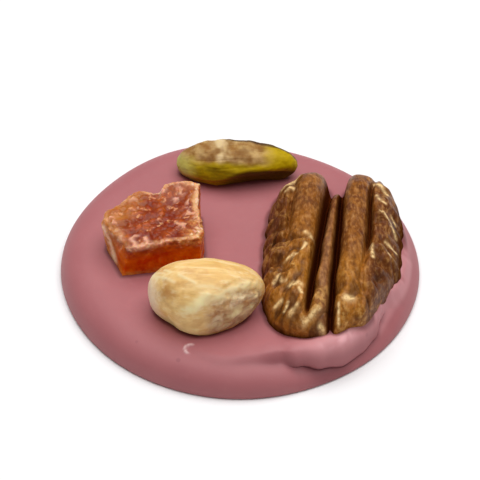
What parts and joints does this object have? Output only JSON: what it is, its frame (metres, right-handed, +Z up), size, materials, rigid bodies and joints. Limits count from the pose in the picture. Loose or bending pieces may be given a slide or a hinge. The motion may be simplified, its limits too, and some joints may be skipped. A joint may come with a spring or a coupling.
{
  "type": "ruby chocolate mendiant",
  "caption": "Round poured disc of ruby chocolate with a pecan half, a blanched hazelnut, a pistachio kernel and a cube of candied fruit pressed into its top.",
  "frame": {"origin": "centre of the disc's flat underside", "axes": "+Z up, square to the disc; +X towards the pecan half, whose long axis lies nearly along Y; -Y towards the hazelnut"},
  "size_m": [0.0462, 0.046, 0.0112],
  "materials": {
    "ruby_chocolate": "satin, softly glossy tempered chocolate",
    "pecan": "dry brown skin with a slight oily sheen",
    "hazelnut": "smooth blanched kernel, satin",
    "pistachio": "green kernel with patches of dry skin",
    "candied_fruit": "translucent and sticky, with sugared edges"
  },
  "bodies": {
    "root": {"ruby_chocolate_disc": "ruby_chocolate", "pecan_half": "pecan", "hazelnut": "hazelnut", "pistachio": "pistachio", "candied_fruit_cube": "candied_fruit"}
  },
  "joints": []
}
